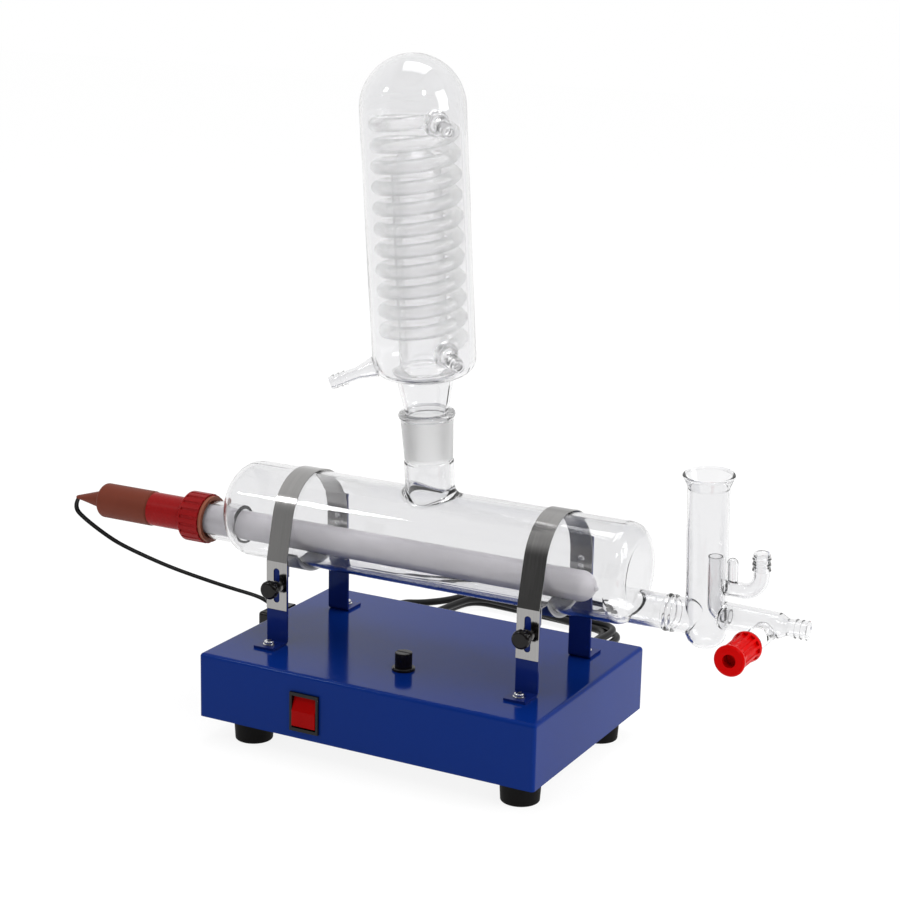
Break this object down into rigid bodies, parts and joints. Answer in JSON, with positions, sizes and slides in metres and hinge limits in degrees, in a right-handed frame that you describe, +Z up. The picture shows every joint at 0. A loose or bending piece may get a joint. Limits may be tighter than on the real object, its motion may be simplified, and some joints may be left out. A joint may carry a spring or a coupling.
{
  "type": "glass water distiller",
  "caption": "Bench water distiller: glass boiler with inserted heater in two banded cradles on a painted base, with an upright coil condenser and a side level controller.",
  "frame": {"origin": "on the bench, under the middle of the base case", "axes": "+X towards the level controller, -Y the front with the rocker switch, +Z up"},
  "size_m": [0.6736, 0.4279, 0.5516],
  "materials": {
    "case_paint": "gloss enamel",
    "bracket_paint": "gloss enamel",
    "plate_steel": "galvanised sheet",
    "screw_steel": "bright zinc",
    "band_steel": "polished stainless strip",
    "rubber_black": "moulded",
    "pad_rubber": "soft sheet",
    "plastic_black": "moulded",
    "rocker_red": "translucent moulded",
    "terminal_white": "moulded",
    "fuse_glass": "clear tube",
    "clear_glass": "clear blown, frosted ground zones",
    "ptfe_white": "turned",
    "ring_grey": "moulded",
    "knob_red": "moulded",
    "cap_red": "moulded",
    "gasket_brown": "moulded",
    "boot_brown": "moulded",
    "sheath_glass": "milky",
    "core_ceramic": "matt ceramic and wire",
    "cord_black": "cord sheath"
  },
  "bodies": {
    "stand": {"base_housing": "case_paint", "base_plate": "plate_steel", "rubber_feet": "rubber_black", "foot_screws": "screw_steel", "foot_nuts": "screw_steel", "switch_body": "plastic_black", "fuse_holder": "plastic_black", "fuse_nut": "plastic_black", "heater_socket": "plastic_black", "heater_plug": "plastic_black", "cord_gland": "rubber_black", "terminal_block": "terminal_white", "front_left_bracket": "bracket_paint", "rear_left_bracket": "bracket_paint", "front_right_bracket": "bracket_paint", "rear_right_bracket": "bracket_paint", "bracket_screws": "screw_steel", "bracket_washers": "screw_steel", "left_band": "band_steel", "right_band": "band_steel", "band_rivets": "screw_steel", "left_saddle": "plate_steel", "right_saddle": "plate_steel", "saddle_pads": "pad_rubber", "left_stud": "screw_steel", "right_stud": "screw_steel", "boiler_glass": "clear_glass", "level_controller": "clear_glass", "overflow_tube": "clear_glass", "feed_tube": "clear_glass", "drain_tube": "clear_glass", "heater_sheath": "sheath_glass", "heater_core": "core_ceramic", "heater_gasket": "gasket_brown", "heater_mouth_ring": "gasket_brown", "heater_sleeve": "cap_red", "heater_boot": "boot_brown", "heater_lead_a": "cord_black", "heater_lead_b": "cord_black", "mains_cord": "cord_black", "mains_coil": "cord_black", "mains_plug": "rubber_black"},
    "condenser": {"condenser_jacket": "clear_glass", "vapour_tube": "clear_glass", "cooling_coil": "clear_glass", "coolant_inlet": "clear_glass", "coolant_outlet": "clear_glass"},
    "valve_stem": {"valve_spindle": "ptfe_white", "valve_ring": "ring_grey"},
    "valve_grip": {"valve_knob": "knob_red"},
    "left_clamp_washer": {"left_thumb_washer": "screw_steel"},
    "left_clamp_knob": {"left_thumb_knob": "plastic_black"},
    "right_clamp_washer": {"right_thumb_washer": "screw_steel"},
    "right_clamp_knob": {"right_thumb_knob": "plastic_black"},
    "fuse_link": {"fuse_cartridge": "fuse_glass"},
    "fuse_screw_cap": {"fuse_cap": "plastic_black"},
    "heater_slip_ring": {"heater_slip_washer": "ptfe_white"},
    "heater_screw_cap": {"heater_cap": "cap_red"},
    "rocker": {"switch_rocker": "rocker_red"}
  },
  "joints": [
    {"name": "condenser_lift", "type": "slide", "parent": "stand", "child": "condenser", "axis": [-0.0253, -0.0819, 0.9963], "range_m": [0, 0.06]},
    {"name": "valve_slide", "type": "slide", "parent": "stand", "child": "valve_stem", "axis": [0, -1, 0], "range_m": [0, 0.005]},
    {"name": "valve_turn", "type": "hinge", "parent": "valve_stem", "child": "valve_grip", "pos_m": [0.289, -0.05, 0.1433], "axis": [0, -1, 0], "range_deg": [0, 900]},
    {"name": "left_washer_slide", "type": "slide", "parent": "stand", "child": "left_clamp_washer", "axis": [0, -1, 0], "range_m": [0, 0.0048]},
    {"name": "left_knob_turn", "type": "hinge", "parent": "left_clamp_washer", "child": "left_clamp_knob", "pos_m": [-0.1102, -0.055, 0.1215], "axis": [0, -1, 0], "range_deg": [0, 2160]},
    {"name": "right_washer_slide", "type": "slide", "parent": "stand", "child": "right_clamp_washer", "axis": [0, -1, 0], "range_m": [0, 0.0048]},
    {"name": "right_knob_turn", "type": "hinge", "parent": "right_clamp_washer", "child": "right_clamp_knob", "pos_m": [0.1158, -0.055, 0.1215], "axis": [0, -1, 0], "range_deg": [0, 2160]},
    {"name": "fuse_slide", "type": "slide", "parent": "stand", "child": "fuse_link", "axis": [0, 0, 1], "range_m": [0, 0.003]},
    {"name": "fuse_cap_turn", "type": "hinge", "parent": "fuse_link", "child": "fuse_screw_cap", "pos_m": [0.0085, -0.0488, 0.08], "axis": [0, 0, 1], "range_deg": [0, 720]},
    {"name": "heater_ring_slide", "type": "slide", "parent": "stand", "child": "heater_slip_ring", "axis": [-1, 0, 0], "range_m": [0, 0.008]},
    {"name": "heater_cap_turn", "type": "hinge", "parent": "heater_slip_ring", "child": "heater_screw_cap", "pos_m": [-0.22, 0.00143, 0.15086], "axis": [-1, 0, 0], "range_deg": [0, 720]},
    {"name": "rocker_tilt", "type": "hinge", "parent": "stand", "child": "rocker", "pos_m": [-0.05, -0.0993, 0.0426], "axis": [1, 0, 0], "range_deg": [0, 24]}
  ],
  "couplings": [
    {"joint": "valve_turn", "follows": "valve_slide", "rad_per_m": 3141.6},
    {"joint": "left_knob_turn", "follows": "left_washer_slide", "rad_per_m": 7854},
    {"joint": "right_knob_turn", "follows": "right_washer_slide", "rad_per_m": 7854},
    {"joint": "fuse_cap_turn", "follows": "fuse_slide", "rad_per_m": 4188.8},
    {"joint": "heater_cap_turn", "follows": "heater_ring_slide", "rad_per_m": 1570.8}
  ]
}
